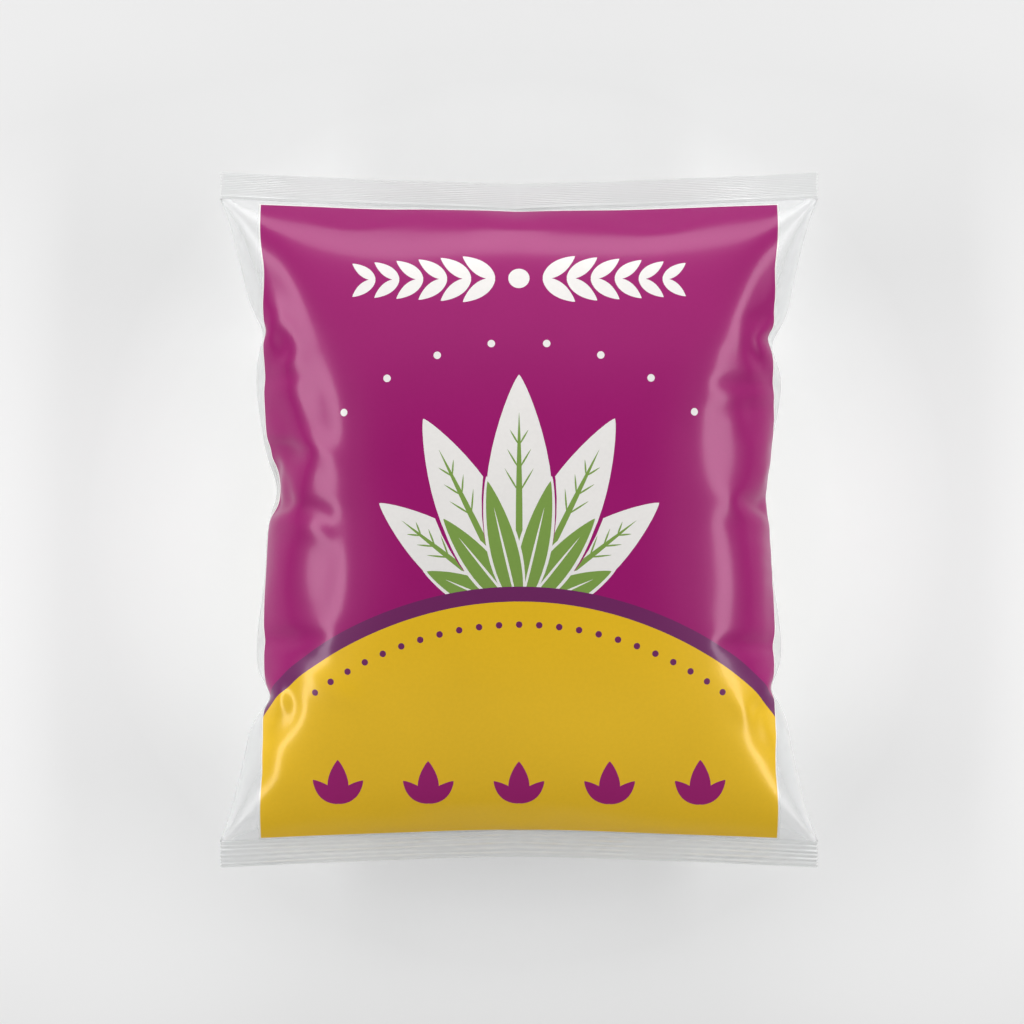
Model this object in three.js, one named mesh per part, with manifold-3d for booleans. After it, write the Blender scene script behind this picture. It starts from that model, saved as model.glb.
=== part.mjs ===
// A sealed pillow bag of clear film with a printed front, holding three whole daikon radishes.
//
// Millimetres, +Z up. The bag lies on its back: the printed front faces +Z, the top seal points to +Y, the
// bag's width runs along X, and the origin is on the supporting surface, under the middle of the bag.
//
// Every sheet of the bag is made on one grid. Rows run along the bag: station v is -1 at the bottom seal and +1
// at the top seal. Columns run round the tube: s is the distance across the flat film from the bag's middle.

import * as THREE from 'three';
import { mergeVertices } from 'three/addons/utils/BufferGeometryUtils.js';
import Module from 'manifold-3d';

const wasm = await Module();
wasm.setup();

// ---- Driving dimensions ----

const clearance = 0.3; // kept between neighbouring pieces

// the bag
const flatWidth = 240; // between the two side folds of the empty bag
const sealedCorner = 129.1; // from the middle of the bag to a seal's inner edge, at a corner
const sealedMiddle = 124.6; // the same on the centre line, where the bulging film draws the seal in
const sealPlane = 38; // height of the seals and the side folds above the surface
const frontRise = 43; // crest of the front above the seal plane
const backDepth = 43; // depth of the back below the seal plane, before the surface flattens it
const filmWall = 0.5;
const lip = 1.5; // half the height of the tube's open ends, inside the seals
const bulgePower = 0.643; // how fast the bag thins towards its seals
const sidePower = 5; // how square the bag is across: 2 would be an ellipse
const waist = 18.5; // how far the blown-up bag draws its side folds in, halfway along
const waistShape = [2.2, 0.9];

// creases and lobes of the two side folds: place along the bag, spread, and how far the fold moves out
const leftFold = [[75, 9, -4], [50, 16, 1.5], [12, 11, -4.5], [-45, 16, 1.8], [-71, 7.5, -6.3]];
const rightFold = [[70, 8, -4.6], [50, 14, 1.5], [14, 18, -2.6], [-45, 16, 1.8], [-68, 7, -4.5]];

// the front print, drawn larger than its ink so that it is a solid
const printHalfWidth = 103.5; // across the flat film
const printThickness = 0.4;
const printTopMargin = 2.2; // between the print and the top seal
const printBottomMargin = 1.2;
const hillRadius = 140; // the lower field's round upper edge
const hillCrest = -30; // its highest point, along the bag
const bandWidth = 5.6; // the dark band over that edge
const hillSegments = 96; // of a full circle

// the crimped end seals
const sealHeight = 10.4;
const sealThickness = 1;
const sealRibs = 7;
const ribDepth = 0.35;
const sawCut = 0.8; // depth of the teeth at the seals' cut ends
const trappedSeam = 0.5; // extra thickness where a seal holds the back seam

// the back seam: two film edges sealed face to face and folded flat
const seamLeft = -1.5;
const seamRight = 12.5;
const seamThickness = 0.6;
const seamClearance = 0.5;
const channelSlope = 2; // width of the slopes beside the channel that the seam lies in
const channelDepth = seamClearance + seamThickness + 0.1;

// the radishes
const rootSides = 14;
const rootSteps = 15;
const buttonHeight = 5;
const buttonTaper = 0.7;
const stalkCount = 7;
const stalkSides = 6;
const stalkLength = [22, 16]; // in the middle of the bunch and at its rim
const stalkUneven = 2.5;
const stalkRadius = [2.2, 3.1];
const stalkTaper = 0.85;
const stalkLean = 0.42; // radians, at the rim
const stalkSpread = 0.62; // share of the button's radius
const stalkSunk = 1;
const radishes = [
  { name: 'daikon_1', x: 0, z: 33.4, radius: 31, length: 165, heads: 1, bend: 1.5, turn: 0.4 },
  { name: 'daikon_2', x: -60.2, z: 30, radius: 27.2, length: 160, heads: -1, bend: -1.2, turn: 1.7 },
  { name: 'daikon_3', x: 60.2, z: 30, radius: 27.2, length: 158, heads: -1, bend: 1.6, turn: 2.9 },
];

// grid steps
const rowCount = 32;
const rowCrowding = 0.15;
const printColumns = 16;
const backRightColumns = 8;
const backLeftColumns = 9;
const profileSamples = 400;

// ---- Materials ----

function material(color, roughness, opacity = 1) {
  return new THREE.MeshStandardMaterial({ color, roughness, metalness: 0, opacity, transparent: opacity < 1 });
}

const clearFilm = material(0xe4e8ea, 0.2, 0.35);
const sealFilm = material(0xdadcde, 0.35, 0.7);
const purpleInk = material(0x981f69, 0.3);
const darkInk = material(0x6e285f, 0.3);
const yellowInk = material(0xdeb72e, 0.3);
const rootSkin = material(0xe9e4d6, 0.55);
const stalkGreen = material(0x7fa04c, 0.6);

// ---- Solids ----

// One closed solid from a list of corner points and a list of triangles, its faces pointing out.
function solid(points, triangles) {
  const geometry = new THREE.BufferGeometry();
  geometry.setAttribute('position', new THREE.Float32BufferAttribute(points.flatMap((p) => [p.x, p.y, p.z]), 3));
  const corner = triangles.map((t) => t.map((index) => points[index]));
  const volume = corner.reduce((sum, [a, b, c]) => sum + a.dot(b.clone().cross(c)) / 6, 0);
  geometry.setIndex(triangles.flatMap(([a, b, c]) => (volume > 0 ? [a, b, c] : [a, c, b])));
  geometry.computeVertexNormals();
  return geometry;
}

// Closed solid between two equal grids of points, rows of columns. A ring's last column meets its first.
function solidBetween(outer, inner, ring) {
  const rows = outer.length;
  const columns = outer[0].length;
  const points = [...outer.flat(), ...inner.flat()];
  const triangles = [];
  const at = (row, column, side) => side * rows * columns + row * columns + (column % columns);
  const quad = (a, b, c, d) => triangles.push([a, b, c], [a, c, d]);
  const steps = ring ? columns : columns - 1;
  for (let r = 0; r < rows - 1; r++) {
    for (let c = 0; c < steps; c++) {
      quad(at(r, c, 0), at(r, c + 1, 0), at(r + 1, c + 1, 0), at(r + 1, c, 0));
      quad(at(r, c, 1), at(r + 1, c, 1), at(r + 1, c + 1, 1), at(r, c + 1, 1));
    }
  }
  for (let c = 0; c < steps; c++) {
    quad(at(0, c, 0), at(0, c, 1), at(0, c + 1, 1), at(0, c + 1, 0));
    quad(at(rows - 1, c, 0), at(rows - 1, c + 1, 0), at(rows - 1, c + 1, 1), at(rows - 1, c, 1));
  }
  for (let r = 0; r < rows - 1 && !ring; r++) {
    const last = columns - 1;
    quad(at(r, 0, 0), at(r + 1, 0, 0), at(r + 1, 0, 1), at(r, 0, 1));
    quad(at(r, last, 0), at(r, last, 1), at(r + 1, last, 1), at(r + 1, last, 0));
  }
  return solid(points, triangles);
}

function toManifold(geometry) {
  const bare = geometry.clone();
  bare.deleteAttribute('normal');
  bare.deleteAttribute('uv');
  const merged = mergeVertices(bare, 1e-4);
  const vertProperties = new Float32Array(merged.attributes.position.array);
  const triVerts = new Uint32Array(merged.index.array);
  return new wasm.Manifold(new wasm.Mesh({ numProp: 3, vertProperties, triVerts }));
}

function fromManifold(body) {
  const mesh = body.getMesh();
  const geometry = new THREE.BufferGeometry();
  geometry.setAttribute('position', new THREE.BufferAttribute(mesh.vertProperties, 3));
  geometry.setIndex(new THREE.BufferAttribute(mesh.triVerts, 1));
  geometry.computeVertexNormals();
  return geometry;
}

// ---- The blown-up film ----

function halfWidth(v, fold) {
  const y = v * sealedCorner;
  const drawnIn = waist * (1 - Math.abs(v) ** waistShape[0]) ** waistShape[1];
  const creases = fold.map(([place, spread, out]) => out * Math.exp(-(((y - place) / spread) ** 2)));
  return creases.reduce((sum, crease) => sum + crease, flatWidth / 2 - drawnIn);
}

// How far along the bag a seal's inner edge lies, at u = -1..1 across the bag.
function sealEdge(u) {
  return sealedMiddle + (sealedCorner - sealedMiddle) * Math.abs(u);
}

function stationOf(row) {
  const t = 2 * row / rowCount - 1;
  return (1 + rowCrowding) * t - rowCrowding * t ** 3; // rows lie closer together near the seals
}

// A point of the film at station v and u = -1..1 across, on the front (+1) or the back (-1).
function filmPoint(v, u, face) {
  const width = halfWidth(v, u < 0 ? leftFold : rightFold);
  const full = lip + ((face > 0 ? frontRise : backDepth) - lip) * (1 - v * v) ** bulgePower;
  const height = full * Math.sqrt(Math.max(0, 1 - Math.abs(u) ** sidePower));
  const z = face > 0 ? height : -Math.min(height, sealPlane);
  return new THREE.Vector3(u * width, v * (sealEdge(u) - clearance), sealPlane + z);
}

// Film points of one row at the given flat distances s from the middle, spaced as the flat film is.
function filmRow(v, distances, face) {
  const samples = [];
  let length = 0;
  for (let k = 0; k <= profileSamples; k++) {
    const t = 2 * k / profileSamples - 1;
    const u = 1.5 * t - 0.5 * t ** 3; // crowded towards the folds, where the film turns fastest
    const point = filmPoint(v, u, face);
    length += k ? point.distanceTo(samples[k - 1].point) : 0;
    samples.push({ point, length });
  }
  return distances.map((s) => {
    const target = (s / flatWidth + 0.5) * length;
    const k = Math.max(1, samples.findIndex((sample) => sample.length >= target - 1e-9));
    const before = samples[k - 1];
    const after = samples[k];
    return before.point.clone().lerp(after.point, (target - before.length) / (after.length - before.length));
  });
}

function evenly(from, to, steps) {
  return Array.from({ length: steps + 1 }, (_, k) => from + (to - from) * k / steps);
}

const fold = flatWidth / 2;
const frontMargin = (fold + printHalfWidth) / 2; // one column in the clear margin beside the print
const printDistances = evenly(-printHalfWidth, printHalfWidth, printColumns);
const frontDistances = [-fold, -frontMargin, ...printDistances, frontMargin, fold];
const seamDistances = [seamRight, (seamLeft + seamRight) / 2, seamLeft];
const backDistances = [
  ...evenly(fold, seamRight + channelSlope, backRightColumns).slice(1),
  ...seamDistances,
  ...evenly(seamLeft - channelSlope, -fold, backLeftColumns).slice(0, -1),
];

function outerRow(row) {
  const v = stationOf(row);
  const back = filmRow(v, backDistances, -1);
  const lifted = back.map((point, k) => (
    seamDistances.includes(backDistances[k]) ? point.setZ(point.z + channelDepth) : point));
  return [...filmRow(v, frontDistances, 1), ...lifted];
}

const filmGrid = Array.from({ length: rowCount + 1 }, (_, row) => outerRow(row));

// Outward direction of the film at a grid point, from its neighbours.
function outward(row, column) {
  const ring = filmGrid[row];
  const across = ring[(column + 1) % ring.length].clone().sub(ring.at(column - 1));
  const above = filmGrid[Math.min(row + 1, rowCount)][column];
  const along = above.clone().sub(filmGrid[Math.max(row - 1, 0)][column]);
  return across.cross(along).normalize();
}

// The film's grid moved out by a distance, or in by a negative one.
const movedOut = (distance) => filmGrid.map((points, row) => (
  points.map((point, column) => point.clone().addScaledVector(outward(row, column), distance))));

function filmTube() {
  return solidBetween(filmGrid, movedOut(-filmWall), true);
}

// ---- The front print ----

function prism(shape) {
  const depth = 2 * sealPlane + frontRise; // more than the height of the bag
  return toManifold(new THREE.ExtrudeGeometry(shape, { depth, curveSegments: hillSegments, bevelEnabled: false }));
}

function printPanel() {
  const first = frontDistances.indexOf(-printHalfWidth);
  const sheet = (distance) => movedOut(distance).map((row) => row.slice(first, first + printColumns + 1));
  const body = toManifold(solidBetween(sheet(clearance + printThickness), sheet(clearance), false));
  const top = (u) => sealEdge(u) - printTopMargin;
  const bottom = (u) => printBottomMargin - sealEdge(u);
  const outline = new THREE.Shape();
  outline.moveTo(-fold, bottom(1));
  outline.lineTo(0, bottom(0));
  outline.lineTo(fold, bottom(1));
  outline.lineTo(fold, top(1));
  outline.lineTo(0, top(0));
  outline.lineTo(-fold, top(1));
  return body.intersect(prism(outline));
}

function hill(radius) {
  const outline = new THREE.Shape();
  outline.absarc(0, hillCrest - hillRadius, radius, 0, 2 * Math.PI);
  return prism(outline);
}

const panel = printPanel();
const purpleField = () => fromManifold(panel.subtract(hill(hillRadius + bandWidth + clearance)));
const darkBand = () => fromManifold(panel.intersect(hill(hillRadius + bandWidth)).subtract(hill(hillRadius)));
const yellowField = () => fromManifold(panel.intersect(hill(hillRadius - clearance)));

// ---- The end seals ----

// A crimped band across the bag's end, ribbed along its length. end is +1 at the top and -1 at the bottom.
function endSeal(end) {
  const seamMiddle = (seamLeft + seamRight) / 2;
  const places = [
    ...evenly(-fold, seamLeft - channelSlope, 5), seamLeft, seamMiddle, seamRight,
    ...evenly(seamRight + channelSlope, fold, 5),
  ];
  const face = (side) => places.map((x) => evenly(0, sealHeight, 2 * sealRibs).map((out, k) => {
    const rib = k % 2 ? 1 : -1;
    const overSeam = side < 0 && x >= seamLeft && x <= seamRight ? trappedSeam : 0;
    const cut = Math.abs(x) === fold && k % 2 ? Math.sign(x) * sawCut : 0;
    const z = sealPlane + rib * ribDepth + side * (sealThickness / 2 + overSeam);
    return new THREE.Vector3(x - cut, end * (sealEdge(x / fold) + out), z);
  }));
  return solidBetween(face(1), face(-1), false);
}

// ---- The back seam ----

function backSeam() {
  const first = frontDistances.length + backDistances.indexOf(seamRight);
  const face = (drop) => filmGrid.map((row) => (
    row.slice(first, first + seamDistances.length).map((point) => point.clone().setZ(point.z - drop))));
  return solidBetween(face(seamClearance + seamThickness), face(seamClearance), false);
}

// ---- The radishes ----

// Shape of a root from tail tip to crown: [share of its length, share of its greatest radius].
const rootShape = [
  [0, 0], [0.05, 0.04], [0.1, 0.09], [0.16, 0.24], [0.23, 0.53], [0.34, 0.8], [0.5, 0.95],
  [0.68, 1], [0.82, 0.97], [0.92, 0.84], [0.975, 0.6], [1, 0.36],
];
const crownShare = rootShape.at(-1)[1];

// Lying position of a radish: its axis along Y, its head towards the given end, slightly bent.
function layDown(geometry, radish) {
  const position = geometry.attributes.position;
  for (let k = 0; k < position.count; k++) {
    const along = position.getY(k) / radish.length;
    position.setX(k, position.getX(k) + radish.bend * Math.cos(Math.PI * along));
  }
  geometry.rotateZ(radish.heads > 0 ? 0 : Math.PI);
  geometry.computeVertexNormals();
  return geometry;
}

function root(radish) {
  const spine = new THREE.SplineCurve(rootShape.map(([along, radius]) => (
    new THREE.Vector2(radius * radish.radius, (along - 0.5) * radish.length))));
  const profile = spine.getPoints(rootSteps).map((p) => new THREE.Vector2(Math.max(p.x, 0), p.y));
  profile[0].x = 0;
  profile.push(new THREE.Vector2(0, profile.at(-1).y));
  const bare = new THREE.LatheGeometry(profile, rootSides);
  bare.deleteAttribute('normal');
  bare.deleteAttribute('uv');
  return layDown(fromManifold(toManifold(bare)), radish);
}

// The crown left on a root: a low button with a bunch of cut leaf stalks, shorter and thicker at its rim.
function stalks(radish) {
  const buttonRadius = crownShare * radish.radius;
  const base = radish.length / 2 + clearance;
  const button = new THREE.CylinderGeometry(buttonTaper * buttonRadius, buttonRadius, buttonHeight, rootSides);
  let crown = toManifold(button.translate(0, base + buttonHeight / 2, 0));
  const goldenAngle = Math.PI * (3 - Math.sqrt(5));
  for (let k = 0; k < stalkCount; k++) {
    const outShare = k / (stalkCount - 1); // from the bunch's middle to its rim
    const length = THREE.MathUtils.lerp(stalkLength[0], stalkLength[1], outShare) + stalkUneven * Math.sin(5 * k);
    const thickness = THREE.MathUtils.lerp(stalkRadius[0], stalkRadius[1], outShare);
    const stalk = new THREE.CylinderGeometry(thickness, stalkTaper * thickness, length, stalkSides);
    stalk.translate(0, length / 2, 0);
    stalk.rotateZ(-stalkLean * outShare);
    stalk.translate(stalkSpread * buttonRadius * outShare, base + stalkSunk, 0);
    stalk.rotateY(goldenAngle * k + radish.turn);
    crown = crown.add(toManifold(stalk));
  }
  return layDown(fromManifold(crown), radish);
}

// ---- Assembly ----

const bag = new THREE.Group();

function place(name, geometry, look, parent = bag) {
  const mesh = new THREE.Mesh(geometry, look);
  mesh.name = name;
  parent.add(mesh);
}

place('film_tube', filmTube(), clearFilm);
place('print_purple_field', purpleField(), purpleInk);
place('print_dark_band', darkBand(), darkInk);
place('print_yellow_field', yellowField(), yellowInk);
place('top_seal', endSeal(1), sealFilm);
place('bottom_seal', endSeal(-1), sealFilm);
place('back_seam', backSeam(), sealFilm);

for (const radish of radishes) {
  const group = new THREE.Group();
  group.position.set(radish.x, 0, radish.z);
  bag.add(group);
  place(`${radish.name}_root`, root(radish), rootSkin, group);
  place(`${radish.name}_stalks`, stalks(radish), stalkGreen, group);
}

export default bag;
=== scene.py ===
"""A sealed pillow bag of clear film with a printed front, lying on its back round three daikon radishes.

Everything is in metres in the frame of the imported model: the printed front faces +Z and the top seal
points to +Y. The film is blown up by a small simulation from its flat size, and every other piece of the
bag is laid on it. A place on the flat film is (s, t): s across the bag from its middle, t along it, towards
the top seal.
"""

import functools
import math

import bpy
import numpy as np
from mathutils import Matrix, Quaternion, Vector, geometry


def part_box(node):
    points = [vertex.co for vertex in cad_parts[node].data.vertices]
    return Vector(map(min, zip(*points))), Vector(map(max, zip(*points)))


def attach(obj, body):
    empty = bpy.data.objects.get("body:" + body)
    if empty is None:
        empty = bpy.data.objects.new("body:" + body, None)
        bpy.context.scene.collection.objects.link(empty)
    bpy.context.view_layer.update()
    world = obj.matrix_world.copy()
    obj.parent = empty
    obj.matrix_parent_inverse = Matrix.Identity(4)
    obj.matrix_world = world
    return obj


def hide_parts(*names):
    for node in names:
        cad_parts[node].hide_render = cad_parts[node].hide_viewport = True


bl_info = {
    "name": "Printed film pillow bag",
    "version": (1, 0, 0),
    "blender": (4, 5, 0),
    "location": "3D View > Sidebar > Pillow bag",
    "description": "Blows up a printed film bag, crimps its seals and lays the radishes inside it",
    "category": "Add Mesh",
}

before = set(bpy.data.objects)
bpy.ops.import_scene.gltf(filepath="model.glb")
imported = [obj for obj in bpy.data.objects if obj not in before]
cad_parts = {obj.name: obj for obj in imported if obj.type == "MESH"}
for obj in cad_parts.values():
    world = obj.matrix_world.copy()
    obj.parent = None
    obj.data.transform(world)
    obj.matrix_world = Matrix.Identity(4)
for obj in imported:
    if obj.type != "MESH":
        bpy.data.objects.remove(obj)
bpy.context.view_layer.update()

MM = 0.001
BODY = "root"

# ---- Sizes taken from the frame ----

SEAL_LOW, SEAL_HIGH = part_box("top_seal")
SEAL_HEIGHT = 10.4 * MM
FLAT_WIDTH = SEAL_HIGH.x - SEAL_LOW.x
SEALED_MIDDLE = SEAL_LOW.y
SEALED_CORNER = SEAL_HIGH.y - SEAL_HEIGHT
SEAL_PLANE = SEAL_HIGH.z - 0.85 * MM  # half of the seal's solid lies above it
RADISHES = ("daikon_1", "daikon_2", "daikon_3")


# ---- Settings that a user would change ----

def length(name, about, default):
    return bpy.props.FloatProperty(name=name, description=about, default=default, unit="LENGTH",
                                   precision=5)


def colour(name, about, default):
    return bpy.props.FloatVectorProperty(name=name, description=about, default=default, subtype="COLOR",
                                         size=3, min=0.0, max=1.0)


def factor(name, about, default, greatest):
    return bpy.props.FloatProperty(name=name, description=about, default=default, min=0.0, max=greatest)


def number(name, about, default, least, greatest):
    return bpy.props.IntProperty(name=name, description=about, default=default, min=least, max=greatest)


class FilmSettings(bpy.types.PropertyGroup):
    film_length: length("Film length", "Length of the flat film between the two seals", 271 * MM)
    thickness: length("Thickness", "Thickness of the film", 0.06 * MM)
    floor_gap: length("Floor gap", "Height of the film over the surface, for the seam under it", 0.3 * MM)
    waist: length("Waist", "How far the blown-up bag draws its side folds in", 18.5 * MM)
    pressure: factor("Pressure", "Push of the gas on the film", 0.005, 0.1)
    stiffness: factor("Stiffness", "Resistance of the film to sharp bends", 0.025, 0.1)
    crush: factor("Crush", "How much the film resists being pushed together", 0.6, 1.0)
    refinements: number("Refinements", "Times the finished grid is halved again", 1, 0, 2)
    softness: number("Softness", "Passes that ease the film's sharpest wrinkles", 14, 0, 60)
    seed: number("Seed", "Seed of the film's first unevenness", 1, 0, 1000)
    tint: colour("Tint", "Colour of the clear film", (0.92, 0.93, 0.935))


class PrintSettings(bpy.types.PropertyGroup):
    half_width: length("Half width", "From the bag's middle to the print's side edge", 103.5 * MM)
    side_bulge: length("Side bulge", "How much wider the flat print is halfway along", 14 * MM)
    top_margin: length("Top margin", "Clear film between the print and the top seal", 3.0 * MM)
    bottom_margin: length("Bottom margin", "Clear film between the print and the bottom seal", 1.2 * MM)
    white_border: length("White border", "How far the white ink reaches past the colours", 0.5 * MM)
    hill_radius: length("Hill radius", "Radius of the lower field's round edge", 140 * MM)
    hill_crest: length("Hill crest", "Place of that edge's highest point along the film", -31.5 * MM)
    band_width: length("Band width", "Width of the dark band over that edge", 5.8 * MM)
    purple: colour("Purple", "Ink of the upper field", (0.312, 0.0085, 0.142))
    dark: colour("Dark purple", "Ink of the band", (0.156, 0.0212, 0.114))
    yellow: colour("Yellow", "Ink of the lower field", (0.79, 0.485, 0.017))
    white: colour("White", "Ink of the large ornament", (0.82, 0.80, 0.78))
    green: colour("Green", "Ink of the small leaves", (0.20, 0.33, 0.07))


class SealSettings(bpy.types.PropertyGroup):
    top_ribs: number("Top ribs", "Fine ribs across the top seal", 15, 2, 40)
    top_rib_depth: length("Top rib depth", "Height of a rib of the top seal", 0.045 * MM)
    bottom_ribs: number("Bottom ribs", "Broad ribs across the bottom seal", 6, 2, 40)
    bottom_rib_depth: length("Bottom rib depth", "Height of a rib of the bottom seal", 0.18 * MM)
    bead: length("Bead", "Height of the bead along a seal's inner edge", 0.22 * MM)
    thickness: length("Thickness", "Thickness of the two welded films", 0.2 * MM)
    teeth: number("Teeth", "Teeth at a seal's cut ends", 8, 2, 40)
    saw_depth: length("Saw depth", "Depth of the teeth at the seal's cut ends", 0.5 * MM)


class RadishSettings(bpy.types.PropertyGroup):
    skin: colour("Skin", "Colour of the root's skin", (0.80, 0.765, 0.66))
    crown_tint: colour("Crown tint", "Colour of the root's shoulder", (0.52, 0.58, 0.30))
    stalk: colour("Stalk", "Colour of the cut leaf stalks", (0.23, 0.40, 0.09))
    seed: number("Seed", "Seed of the skin's rings and marks", 7, 0, 1000)


class StageSettings(bpy.types.PropertyGroup):
    view_width: length("View width", "Width that the camera takes in at the seals", 411 * MM)
    camera_height: length("Camera height", "Height of the camera over the seals", 3.0)
    offset_x: length("Offset across", "Camera's place across the bag", -2.8 * MM)
    offset_y: length("Offset along", "Camera's place along the bag", 3.2 * MM)
    floor_tone: colour("Floor", "Colour of the pale floor", (0.97, 0.97, 0.97))


# ---- The shape of the radishes ----

# shape of a root from tail tip to crown: share of its length, share of its greatest radius
ROOT_SHAPE = ((0, 0), (0.05, 0.04), (0.1, 0.09), (0.16, 0.24), (0.23, 0.53), (0.34, 0.8), (0.5, 0.95),
              (0.68, 1), (0.82, 0.97), (0.92, 0.84), (0.975, 0.6), (1, 0.36))


def smooth_curve(knots, places):
    """Values at the given places on a smooth curve through the knots."""
    at, value = np.array(knots, float).T
    slope = np.gradient(value, at)
    k = np.clip(np.searchsorted(at, places) - 1, 0, len(at) - 2)
    width = at[k + 1] - at[k]
    u = (places - at[k]) / width
    return ((2 * u ** 3 - 3 * u ** 2 + 1) * value[k] + (u ** 3 - 2 * u ** 2 + u) * width * slope[k]
            + (3 * u ** 2 - 2 * u ** 3) * value[k + 1] + (u ** 3 - u ** 2) * width * slope[k + 1])


def heads_up(name):
    """+1 if the radish's crown lies towards the top seal, or -1."""
    return 1 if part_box(f"{name}_stalks")[1].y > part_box(f"{name}_root")[1].y else -1


def root_line(name, share):
    """Middle line and radius of a root at shares of its length from the tail tip: x, y, z and radius."""
    low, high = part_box(f"{name}_root")
    middle = (low + high) / 2
    radius = (high.z - low.z) / 2
    bend = (high.x - low.x) / 2 - radius
    head = heads_up(name)
    x = middle.x + head * bend * (np.cos(math.pi * (share - 0.5)) - 0.5)
    y = middle.y + head * (share - 0.5) * (high.y - low.y)
    thickness = np.maximum(smooth_curve(ROOT_SHAPE, share), 0) * radius
    return x, y, np.full_like(x, middle.z), 0.985 * thickness


# ---- The blown-up film ----

# Creases of the front film over the simulated shape: height, how far each flank reaches (left and right of
# the line's direction), and the line across the bag, all in mm.
CREASES = (
    # broad flats along both sides, each with a fuller shoulder outside it
    (-1.35, 10.0, 7.5, ((-84, 84), (-83, 66), (-82, 50), (-80, 36), (-78, 20), (-77, 8))),
    (-1.1, 8.0, 8.0, ((-77, 4), (-77, -12), (-78, -28), (-78, -44))),
    (0.8, 6.0, 5.0, ((-94, -2), (-94, -16), (-95, -30), (-95, -44))),
    (-0.5, 7.0, 8.0, ((86, 76), (83, 60), (80, 44), (79, 28), (79, 12))),
    (1.7, 6.0, 9.0, ((95, 62), (95, 46), (95, 32), (95, 16), (96, 2))),
    (2.0, 5.0, 14.0, ((95, 4), (94, -12), (94, -28), (95, -46), (95, -60))),
    # left side, from the top
    (-1.6, 7.0, 6.5, ((-105, 112), (-99, 97), (-94, 87), (-90, 78), (-86, 67))),
    (-1.3, 3.0, 3.8, ((-109, 81), (-102, 77.5), (-96.5, 73.5), (-94.5, 69), (-96, 65), (-100, 61),
                      (-104, 57))),
    (0.6, 5.0, 6.0, ((-94, 66), (-92, 58), (-89, 46), (-86, 34))),
    (0.7, 5.0, 5.0, ((-87, 40), (-84.5, 32), (-83.5, 25), (-84, 17), (-88, 11))),
    (1.6, 4.5, 4.5, ((-82, 28.5), (-82, 25.5), (-83, 22))),
    (-1.1, 5.5, 4.5, ((-98, 48), (-94, 38), (-92, 28), (-94, 18))),
    (-1.6, 3.2, 4.5, ((-97, 9), (-90, 6), (-82, 4.4), (-72.5, 2))),
    (1.1, 4.0, 4.5, ((-95, -1), (-87, -2), (-80, -4), (-74, -9))),
    (-1.1, 2.6, 3.4, ((-101, 30), (-96, 19), (-92.5, 11), (-93, 5), (-97, -1))),
    (-1.3, 2.2, 3.4, ((-98, -58), (-93, -66), (-89.5, -74), (-91, -80), (-95, -84), (-101, -87))),
    (0.9, 3.0, 2.6, ((-97, -56), (-95, -65), (-94.5, -72), (-96, -78))),
    (0.9, 4.5, 4.5, ((-95, -55), (-86, -61), (-75, -67), (-62, -74))),
    (-0.9, 4.0, 4.0, ((-96, -47), (-90, -52), (-84, -55), (-74, -55))),
    (0.8, 6.0, 6.0, ((-100, -88), (-95, -98), (-94, -112))),
    # right side, from the top
    (-1.8, 3.2, 2.8, ((105, 88), (99, 82), (94.5, 75), (94, 69), (98, 61), (103, 53))),
    (-1.05, 6.5, 5.5, ((106, 112), (101.5, 99), (97, 88), (92, 79), (87, 69), (84, 60))),
    (0.9, 5.0, 5.0, ((109, 106), (105, 96), (101.5, 87), (97, 79))),
    (0.6, 2.0, 2.0, ((94.5, 72), (98, 66), (102, 59))),
    (-1.2, 4.5, 4.5, ((89, 56), (92, 46), (92.5, 37), (91, 30))),
    (0.7, 2.4, 2.4, ((97, 24), (97.5, 10), (97, -2))),
    (-1.4, 2.2, 2.8, ((101, -68), (94.5, -77), (95.5, -84), (102, -94))),
    (1.1, 3.6, 2.8, ((82, -67), (91, -78), (96, -84), (103, -90))),
    # along the two seals
    (0.5, 5.0, 3.5, ((-30, 124), (-50, 120.5), (-72, 121), (-90, 125))),
    (-0.5, 1.8, 3.0, ((-48, 122), (-68, 119.6), (-86, 122.5))),
    (-0.5, 2.2, 3.2, ((34, 122), (52, 119.6), (72, 121.5))),
    (0.5, 4.0, 4.0, ((-20, 120), (-4, 117), (16, 118.5))),
    (-0.6, 5.0, 5.0, ((-60, -116), (-30, -119), (0, -118.5), (26, -120))),
)

# Creases and lobes of the side folds: place along the bag, spread, and how far the fold moves out, in mm.
LEFT_FOLD = ((75, 9, -4), (50, 16, 1.5), (12, 11, -4.5), (-45, 16, 1.8), (-71, 7.5, -6.3))
RIGHT_FOLD = ((70, 8, -4.6), (50, 14, 1.5), (14, 18, -2.6), (-45, 16, 1.8), (-68, 7, -4.5))
BULGE = 43 * MM  # height of the front and the back over the seals, before the film comes to rest
COARSE = (40, 44)  # steps across and along in the first grid; each later grid halves them
SWEEPS = (800, 1000, 260)


def fold_half_width(y, creases, waist):
    """Distance of a side fold from the bag's middle, at places y along the bag."""
    v = np.clip(np.abs(y) / SEALED_CORNER, 0, 1)
    drawn_in = waist * (1 - v ** 2.2) ** 0.9
    moved = sum(out * MM * np.exp(-(((y / MM - place) / spread) ** 2)) for place, spread, out in creases)
    return FLAT_WIDTH / 2 - drawn_in + moved


def seal_line(x, end):
    """Inner edge of a seal at places x across the bag: its place along the bag and its height."""
    u = np.abs(x) / (FLAT_WIDTH / 2)
    y = SEALED_MIDDLE + (SEALED_CORNER - SEALED_MIDDLE) * (u ** 1.35)
    sway = np.sin(math.pi * u) * (0.5 * np.sin(31 * x + 1.1 * end) + 0.35 * np.sin(67 * x + 2.0 * end))
    return end * y, SEAL_PLANE + MM * sway


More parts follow.
